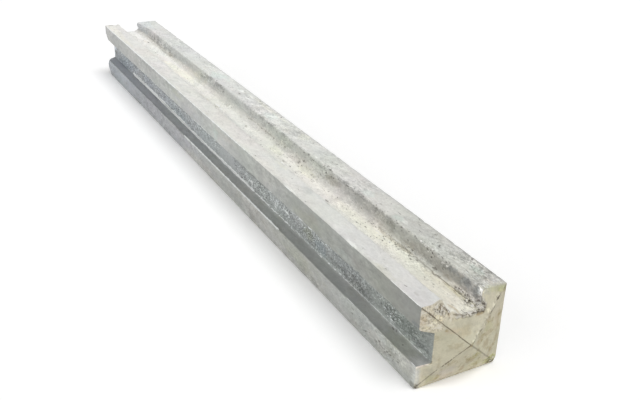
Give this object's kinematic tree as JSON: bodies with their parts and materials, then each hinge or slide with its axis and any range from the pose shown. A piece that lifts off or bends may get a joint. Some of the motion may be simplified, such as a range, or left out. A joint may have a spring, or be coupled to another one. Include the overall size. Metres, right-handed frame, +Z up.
{
  "type": "slotted concrete fence post",
  "caption": "Cast concrete corner post for a panel fence: a square post with a drafted panel slot along two adjacent sides, a low pyramid top and a flat-cut foot.",
  "frame": {"origin": "middle of the footprint, on the level face that the post lies on", "axes": "+Y along the post towards its foot, so the weathered top points to -Y; +Z up, out of the upper slot; -X out of the side slot"},
  "size_m": [0.112, 1.22, 0.106],
  "materials": {
    "concrete": "cast concrete, matt, weathered, pitted and stained"
  },
  "bodies": {
    "root": {"post": "concrete"}
  },
  "joints": []
}
